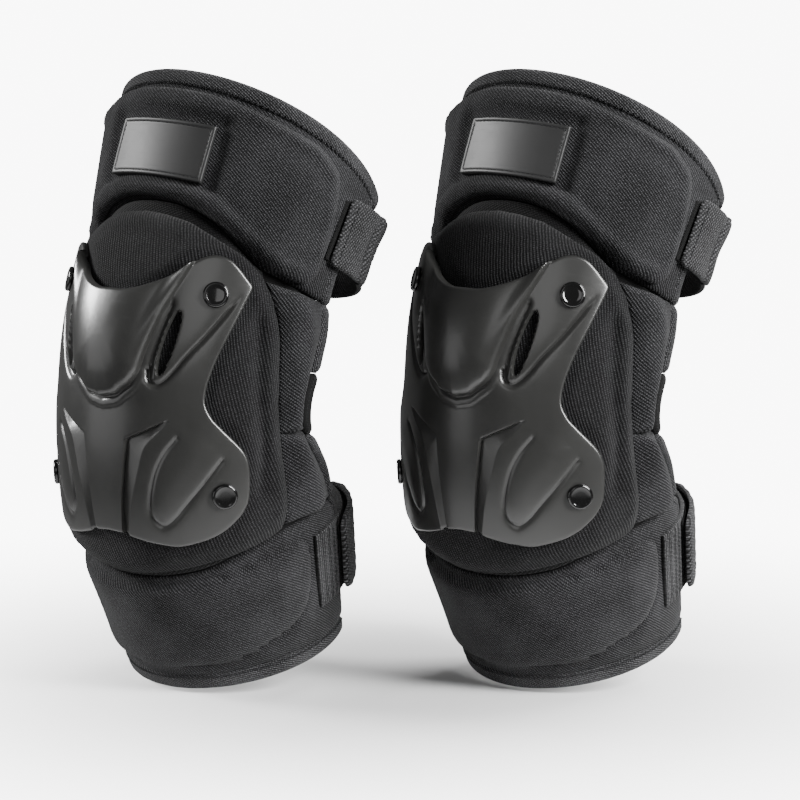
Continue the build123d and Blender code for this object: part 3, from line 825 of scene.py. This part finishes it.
def knee_pad():
    top = [(0, 84.5), (19, 82.5), (33.5, 77.5), (45, 72.6), (54, 67.6), (61, 62), (67, 53.5), (71.2, 45),
           (73.8, 34), (76, 16)]
    side = [(78.5, -12), (79.5, -32), (79, -47)]
    bottom = [(74, -57), (62, -61.5), (48, -64.8), (35, -67), (18, -68.3), (0, -68.5)]
    half = curve(top + side + bottom, 5)

    def height(u, s, edge):
        side = step(50, 62, np.abs(u)) * step(-62, -50, s)
        crease = PIECE_MAP.distance(np.abs(u), s, [(62, 42), (65, 10), (68, -12), (66, -34)])
        h = 8.4 + 6.5 * arch(edge, 8 + 9 * side)
        return np.minimum(h + side * (1.6 * swell(edge, 3, 7) - 2.8 * swell(crease, 4)), KNEE_PAD_MOST)

    def clear_of_shell(u, s):
        away, inside = PIECE_MAP.outline(u, s, mirrored(SHELL_HALF))
        return np.where(inside, 0, step(0, 7, away))
    cushion = pad("knee_cushion", mirrored(half), height, PAD_UNDER, 2.2, (*PAD_RINGS, 5.2))
    return puffed(cushion, 2.0, clear_of_shell)


# Side of the foam core, as (s, u) upwards, where the side fabric starts
FOAM_SIDE = [(-58, 78.5), (-10, 78.5), (16, 76.6), (34, 74.2), (45, 71.6), (53.5, 67.4), (62.6, 61.8)]


def foam_side(s):
    return eased(FOAM_SIDE, s, 1.0)


def knee_foam():
    side = [(u - 0.3, s) for s, u in FOAM_SIDE[::-1]]
    half = [*[(u, thigh_fold(u) - 0.4) for u in range(0, 61, 6)], *side,
            *[(u, shin_fold(u) + 0.4) for u in range(78, -1, -6)]]
    return pad("foam_core", mirrored(half), lambda u, s, edge: 3.2 + 4.2 * arch(edge, 5), CORE_UNDER, 4.0,
               (0.8, 2.0, 3.6))


def gusset(name, low, high, full):
    """Padded side fabric, on both sides, between the foam and the back edge."""
    pieces = []
    for side in (1, -1):
        stations = np.linspace(low, high, 18)
        front = [(float(foam_side(s)) + 0.1, s) for s in stations]
        rear = [(back_edge(s) - EDGE_TAPE + 0.2, s) for s in stations[::-1]]

        def height(u, s, edge):
            across = (np.abs(u) - foam_side(s)) / np.maximum(back_edge(s) - EDGE_TAPE - foam_side(s), 1)
            return 5.0 + 3.0 * arch(edge, 5) + full * arch(edge, 9) * swell(across, 0.26, 0.46)
        outline = [(side * u, s) for u, s in front + rear]
        pieces.append(pad(name, outline, height, CORE_UNDER, 2.2, (0.6, 1.4, 2.6, 4.0)))
    return puffed(joined(pieces), 1.8)


def joined(pieces):
    """One object from several."""
    bpy.ops.object.select_all(action="DESELECT")
    for piece in pieces:
        piece.select_set(True)
    bpy.context.view_layer.objects.active = pieces[0]
    bpy.ops.object.join()
    return pieces[0]


def round_leg(name, lower, upper, inset, height, under, cell=2.6, rings=(0.6, 1.6, 3.0)):
    """Piece from one back edge round the front to the other, between two lines s = lower(u), upper(u)."""
    end_low, end_high = lower(100.0), upper(100.0)
    stations = np.linspace(end_low, end_high, 24)[1:-1]
    low_end = float(back_edge(end_low) - inset)
    high_end = float(back_edge(end_high) - inset)
    half = [*[(u, float(upper(u))) for u in np.linspace(0, high_end, 40)],
            *[(float(back_edge(s) - inset), s) for s in stations[::-1]],
            *[(u, float(lower(u))) for u in np.linspace(low_end, 0, 40)]]
    return pad(name, mirrored(half), height, under, cell, rings)


def thigh_sleeve():
    def height(u, s, edge):
        low = s - thigh_fold(u)
        high = top_rim(u) - BINDING - s
        h = 2.6 + 5.4 * arch(low, 7) - 0.9 * fall(np.maximum(high, 0), 4)
        return h + 0.35 * np.sin(np.radians(u * 7 + s * 5)) * step(2, 14, edge)
    sleeve = round_leg("thigh_side", lambda u: thigh_fold(u) + 0.2, lambda u: top_rim(u) - BINDING + 1.2,
                       EDGE_TAPE - 0.2, height, CORE_UNDER)
    return puffed(sleeve, 0.9)


# Outline of the raised cushion in the shin sleeve
SHIN_CUSHION = curve([(0, -76), (40, -74.5), (70, -68), (82, -67), (87.5, -73), (88.5, -84), (87, -97),
                      (82, -108), (73.8, -115), (60, -121), (40, -126), (0, -128)], 5)


def shin_sleeve():
    def height(u, s, edge):
        low = s - BOTTOM - BINDING
        high = shin_fold(u) - s
        h = 2.8 + 5.4 * arch(high, 9) - fall(np.maximum(low, 0), 5)
        depth, inside = SLEEVE_MAP.outline(u, s, mirrored(SHIN_CUSHION))
        h += np.where(inside, 3.6 * arch(depth, 8), -1.5 * swell(depth, 2.5))
        return h + 0.3 * np.sin(np.radians(u * 6 - s * 5)) * step(6, 16, edge)
    sleeve = round_leg("shin_side", lambda u: shin_rim(u) - 1.2,
                       lambda u: shin_fold(u) - 0.2, EDGE_TAPE - 0.2, height, CORE_UNDER)
    return puffed(sleeve, 1.6, lambda u, s: 1 - 0.6 * step(70, 90, np.abs(u)))


def lining(name, lower, upper):
    def height(u, s, edge):
        return LINING_TOP + 0.25 * np.sin(u * 0.6) * np.sin(s * 0.5)
    return round_leg(name, lower, upper, EDGE_TAPE - 0.5, height, LINING_UNDER, 4.0, (1.5,))


def shin_rim(u):
    return BOTTOM + BINDING + 0 * np.asarray(u)


def fold_web(name, fold):
    """Stretch cloth inside a fold, which closes it as the guard bends."""
    return round_leg(name, lambda u: fold(u) - 5, lambda u: fold(u) + 5, EDGE_TAPE - 0.2,
                     lambda u, s, edge: WEB_TOP + 0 * s, WEB_UNDER, 3.0, (1.0,))


def rim_tape(name, line, inwards, ends):
    """Tape folded over a rim: the rim runs along line(u), and the tape reaches inwards from it."""
    path = [(u, float(line(u))) for u in np.linspace(-ends, ends, 120)]
    section = rounded_section(0.2, BINDING, 0.5, 8.6, 3.4, 5)
    return sweep(name, path, [(0, inwards)] * len(path), section[::-inwards])


def edge_tape(name, low, high):
    """Tape down both back edges from s low to high."""
    stations = np.linspace(low, high, max(8, int((high - low) / 2)))
    section = rounded_section(0.2, 8.8, 0.5, 8.5, 3.2, 5)
    pieces = []
    for side in (1, -1):
        path = [(side * float(back_edge(s)), s) for s in stations]
        across = [(-side / math.radians(float(radius(s)) + 5), 0) for s in stations]
        pieces.append(sweep(name, path, across, section[::side]))
    return joined(pieces)


STITCH_INSET = 1.6            # from the inner edge of a tape to its stitching


def stitching(name, rows, thick=0.25, **form):
    """Stitches along several rows."""
    return threads(name, [pair for row in rows for pair in stitch_pairs(row, **form)], thick * MM, 0.2 * MM)


def rim_stitches(name, line, inwards, ends):
    row = [(u, float(line(u)) + inwards * (BINDING - STITCH_INSET)) for u in np.linspace(-ends, ends, 160)]
    return stitching(name, [row], h=8.55, pitch=1.5, length=1.5, sway=0.8)


def edge_stitches(name, low, high):
    row = [(float(back_edge(s)) - EDGE_TAPE + STITCH_INSET, s) for s in np.linspace(low, high, 50)]
    rows = (row, [(-u, s) for u, s in row])
    return stitching(name, rows, h=8.3, pitch=2.2, length=1.6)


def tab_stitches(name, columns, low, high, h):
    """Rows of stitches up a tab, from s low to high at each of the columns' u."""
    rows = [[(u, s) for s in np.linspace(low, high, 20)] for u in columns]
    return stitching(name, rows, 0.28, h=h, pitch=2.2, length=1.6)


UPPER_STRAP = (82.0, 120.0)
LOWER_STRAP = (-114.0, -70.0)


def strap(name, span, start, end, height, under, corner=1.0, cell=2.4):
    """Band round the leg over span from angle start to end, with rounded corners."""
    arc = PIECE_MAP.arc
    box = rounded_section(start * arc, end * arc, *span, corner)
    return pad(name, [(x / arc, y) for x, y in box], height, under, cell, (0.4, 1.0, 2.0))


def band(name, span, start, end, top, rib, under, cell):
    """Elastic band with ribs of height rib(u, s)."""
    def height(u, s, edge):
        return top + rib(u, s) - 0.9 * fall(edge, 1.2)
    return strap(name, span, start, end, height, under, 1.0, cell)


def upper_strap_tab():
    """Coarse woven tab, with a raised hem and a groove before it."""
    def height(u, s, edge):
        h = 13.4 - 1.2 * fall(edge, 1.4)
        h += 0.5 * np.sin((s - 80) / 4.5) * step(90, 103, u)
        h += 1.3 * swell(u, 1.9, 112.6) - 0.9 * swell(u, 0.9, 109.6)
        return h - 0.8 * (1 - step(88, 92, u)) + 0.4 * step(115, 118, u)

    def under(u, s):
        return UPPER_TAB_H + 1.2 * step(113, 116, u)
    return strap("upper_tab_cloth", UPPER_STRAP, 88, 121, height, under, 3.0, 1.8)


def lower_strap_tab():
    """Brushed tab, thick and soft, that thins out over the strap it is sewn to."""
    def height(u, s, edge):
        h = 16.2 - 1.6 * fall(edge, 2.2) + 0.7 * arch(edge, 9)
        return h + 0.25 * np.sin(s * 0.9) * np.sin(u * 0.8) - 2.0 * step(147, 153, u)

    def under(u, s):
        return LOWER_TAB_H - 1.6 * step(146, 152, u)
    return strap("lower_tab_cloth", LOWER_STRAP, 110, 158, height, under, 7.0, 1.8)


def patch(name, span, start, end, top, under):
    """Hook or loop patch."""
    return strap(name, span, start, end, lambda u, s, edge: top - 0.4 * fall(edge, 0.8), under)


# ---- What stands for what ----
KNEE, THIGH, SHIN, UPPER_TAB, LOWER_TAB = "knee", "thigh", "shin", "upper_tab", "lower_tab"
THIGH_FOLLOWS, SHIN_FOLLOWS = "knee>thigh", "knee>shin"
TAPE, FABRIC, THREAD = "binding_tape", "main_fabric", "thread"
# The function that makes a piece and what it is told, the piece's slot and body, the CAD node that it
# stands for, and how full it is if it is padded
PIECES = [
    (lining, ("thigh_inner", lambda u: thigh_fold(u) + 0.1, lambda u: top_rim(u) - BINDING + 1.5),
     "lining_mesh", THIGH_FOLLOWS, "thigh_lining", 0.3),
    (thigh_sleeve, (), FABRIC, THIGH_FOLLOWS, "thigh_sleeve", 0.6),
    (thigh_panel, (), FABRIC, THIGH, "thigh_panel", 0.9),
    (thigh_label, (), "label_rubber", THIGH, "thigh_label"),
    (label_stitches, (), THREAD, THIGH),
    (rim_tape, ("top_tape", top_rim, -1, 111.6), TAPE, THIGH, "top_binding", 0.5),
    (rim_stitches, ("top_stitches", top_rim, -1, 109), THREAD, THIGH),
    (edge_tape, ("thigh_edge_tape", 62.2, 130), TAPE, THIGH_FOLLOWS, "thigh_edge_bindings", 0.5),
    (edge_stitches, ("thigh_edge_stitches", 64, 128), THREAD, THIGH_FOLLOWS),
    (lining, ("knee_inner", lambda u: shin_fold(u) - 0.1, lambda u: thigh_fold(u) - 0.1),
     "lining_mesh", KNEE, "knee_lining", 0.3),
    (fold_web, ("thigh_fold_web", thigh_fold), "insert_fabric", THIGH_FOLLOWS),
    (fold_web, ("shin_fold_web", shin_fold), "insert_fabric", SHIN_FOLLOWS),
    (knee_foam, (), "foam", KNEE, "knee_foam", 1.0),
    (knee_pad, (), "pad_fabric", KNEE, "knee_pad", 0.9),
    (knee_shell, (), "shell_plastic", KNEE, "knee_shell"),
    (rivet_caps, (), "rivet_gloss", KNEE, "rivet_caps"),
    (rivet_washers, (), "washer_plastic", KNEE, "rivet_washers"),
    (gusset, ("upper_gusset", -10.4, 62.6, 7.0), FABRIC, KNEE, "upper_gussets", 0.7),
    (gusset, ("lower_gusset", -57.6, -10.2, 7.5), FABRIC, KNEE, "lower_gussets", 0.7),
    (edge_tape, ("knee_edge_tape", 22.4, 62), TAPE, KNEE, "knee_upper_bindings", 0.5),
    (edge_tape, ("edge_insert", -12.6, 22.2), "insert_fabric", KNEE, "knee_edge_inserts", 0.5),
    (edge_tape, ("knee_low_edge_tape", -59.2, -12.8), TAPE, KNEE, "knee_lower_bindings", 0.5),
    (edge_stitches, ("knee_edge_stitches", -57, 60), THREAD, KNEE),
    (lining, ("shin_inner", lambda u: shin_rim(u) - 1.5, lambda u: shin_fold(u) + 0.1),
     "lining_mesh", SHIN_FOLLOWS, "shin_lining", 0.3),
    (shin_sleeve, (), FABRIC, SHIN_FOLLOWS, "shin_sleeve", 0.7),
    (rim_tape, ("bottom_tape", lambda u: BOTTOM, 1, 121.6), TAPE, SHIN, "bottom_binding", 0.5),
    (rim_stitches, ("bottom_stitches", lambda u: BOTTOM, 1, 119), THREAD, SHIN),
    (edge_tape, ("shin_edge_tape", BOTTOM + BINDING - 1, -59.4),
     TAPE, SHIN_FOLLOWS, "shin_edge_bindings", 0.5),
    (edge_stitches, ("shin_edge_stitches", BOTTOM + BINDING + 2, -61), THREAD, SHIN_FOLLOWS),
    (band, ("upper_band", UPPER_STRAP, 118, 272, 12.0,
            lambda u, s: 0.22 * np.sin((s - 82) * 2 * np.pi / 3.8), UPPER_BAND_H, 1.9),
     "strap_elastic", THIGH, "upper_strap"),
    (patch, ("upper_loops", (84, 118), 86, 101, 9.6, PAD_UNDER), "loop_tape", THIGH, "upper_loop_patch"),
    (upper_strap_tab, (), "tab_webbing", "thigh>upper_tab", "upper_strap_tab"),
    (tab_stitches, ("upper_tab_stitches", (91.2, 107.6), 84, 118, 13.6), THREAD, UPPER_TAB),
    (patch, ("upper_hooks", (85, 117), 90, 107, 10.75, UPPER_HOOK_H),
     "hook_tape", UPPER_TAB, "upper_hook_patch"),
    (band, ("lower_band", LOWER_STRAP, 92, 268, 10.8,
            lambda u, s: 0.3 * np.sin((u - 92) * 2 * np.pi / 2.2), LOWER_BAND_H, 1.5),
     "strap_elastic", SHIN, "lower_strap"),
    (patch, ("lower_loops", (-112, -72), 111, 158, 12.1, LOWER_PATCH_H),
     "loop_tape", SHIN, "lower_loop_patch"),
    (lower_strap_tab, (), "tab_webbing", "shin>lower_tab", "lower_strap_tab"),
    (tab_stitches, ("lower_tab_stitches", (146,), -110, -74, 17.0), THREAD, LOWER_TAB),
    (patch, ("lower_hooks", (-111, -73), 112, 142, 13.3, LOWER_HOOK_H),
     "hook_tape", LOWER_TAB, "lower_hook_patch"),
]


def follows(front, back, reach):
    """Where cloth starts to follow the next body, at a fold's front and back, and where it follows fully."""
    start, end = place(0, front, 5), place(180, back, 5)
    across = end - start
    onwards = np.array((0, -across[2], across[1])) / norm(across)
    return start, start + onwards * reach * MM


# From where to where a piece passes from one body to the next, by the next body's name
BLENDS = {THIGH: follows(91, 52, 28), SHIN: follows(-71, -54, -28),
          UPPER_TAB: (place(118.5, 101, 12), place(112.5, 101, 12)),
          LOWER_TAB: (place(154, -92, 13), place(148, -92, 13))}


def settle(piece, side, slot_name, body, node=None, fill=None):
    """Gives one piece of the guard on one side the material of its slot and its body, or leaves it in place
    if it lies between two bodies, and hides the CAD node that it stands for.
    """
    piece.data.materials.clear()
    piece.data.materials.append(MATERIALS[slot_name])
    if ">" in body:
        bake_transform(piece)
    else:
        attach(piece, f"{side}_{body}")
    if node:
        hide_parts(f"{side}_{node}")


for make, told, *rest in PIECES:
    left = make(*told)
    base = left.name
    right = left.copy()
    right.data = left.data.copy()
    right.data.transform(Matrix.Translation(PAIR_STEP))
    bpy.context.scene.collection.objects.link(right)
    for side, piece in (("left", left), ("right", right)):
        piece.name = f"{side}_{base}"
        piece.data.name = piece.name
        settle(piece, side, *rest)


# ---- Floor, light and camera ----
TARGET = Vector((0.0842, 0.0682, 0.0004))
VIEW = Vector((0.6216, -0.7676, 0.1564))
CAMERA_DISTANCE = 2.2
LENS, SENSOR = 180, 36
FLOOR_RADIUS = 0.9
FLOOR_GAP = 0.0005            # below the guards
SOLID_FLOOR, CLEAR_FLOOR = 0.05, 0.6 * FLOOR_RADIUS     # between these distances the floor fades out
WORLD_LIGHT, WORLD_SEEN = 0.14, 9.0
# Area lamps: where they stand from the target, width and height, power
LAMPS = {
    "key": ((-3.55, -1.34, 1.56), (1.35, 0.9), 225),
    "front": ((0.9, -1.8, 0.9), (1.0, 1.0), 4),
    "sheen": ((-1.2, -1.5, 0.15), (1.2, 1.0), 4),
    "side": ((1.9, 0.15, 0.95), (0.6, 1.4), 125),
    "back": ((0.3, 1.8, 1.3), (1.6, 1.0), 60),
}


def floor():
    """Pale round floor that fades out into the pale background."""
    bpy.ops.mesh.primitive_circle_add(vertices=96, radius=FLOOR_RADIUS, fill_type="NGON",
                                      location=(TARGET.x, TARGET.y, cad_box[0][2] - FLOOR_GAP))
    ground = bpy.context.object
    ground.name = "floor"
    material, tree, shader = blank("pale floor")
    source = add(tree, "TexCoord").outputs["Object"]
    mottle = add(tree, "TexNoise", {"Vector": source, "Scale": 3.0}).outputs["Fac"]
    tree.links.new(mixed(tree, mottle, (0.88, 0.88, 0.88), (0.92, 0.92, 0.92)), shader.inputs["Base Color"])
    shader.inputs["Roughness"].default_value = 0.9
    out = add(tree, "VectorMath", {0: source}, operation="LENGTH").outputs["Value"]
    fading = {"Value": out, "From Min": SOLID_FLOOR, "From Max": CLEAR_FLOOR, "To Min": 1.0, "To Max": 0.0}
    solid = add(tree, "MapRange", fading, interpolation_type="SMOOTHSTEP").outputs[0]
    tree.links.new(solid, shader.inputs["Alpha"])
    ground.data.materials.append(material)


def put(name, data, offset, looking):
    """Object with this data, offset from the target and looking that way."""
    holder = linked(name, data)
    holder.location = TARGET + offset
    holder.rotation_euler = looking.to_track_quat("-Z", "Y").to_euler()
    return holder


floor()
for name, (offset, extent, power) in LAMPS.items():
    light = bpy.data.lights.new(name, "AREA")
    light.shape = "RECTANGLE"
    light.size, light.size_y = extent
    light.energy = power
    put(name, light, Vector(offset), -Vector(offset))

world = bpy.data.worlds.new("studio")
bpy.context.scene.world = world
world.use_nodes = True
sky = world.node_tree
seen = add(sky, "LightPath").outputs["Is Camera Ray"]
strength = plus(sky, seen, WORLD_SEEN, WORLD_LIGHT)
sky.links.new(strength, sky.nodes["Background"].inputs["Strength"])
sky.nodes["Background"].inputs["Color"].default_value = (1, 1, 1, 1)

camera = put("camera", bpy.data.cameras.new("camera"), VIEW * CAMERA_DISTANCE, -VIEW)
camera.data.lens, camera.data.sensor_width = LENS, SENSOR
bpy.context.scene.camera = camera
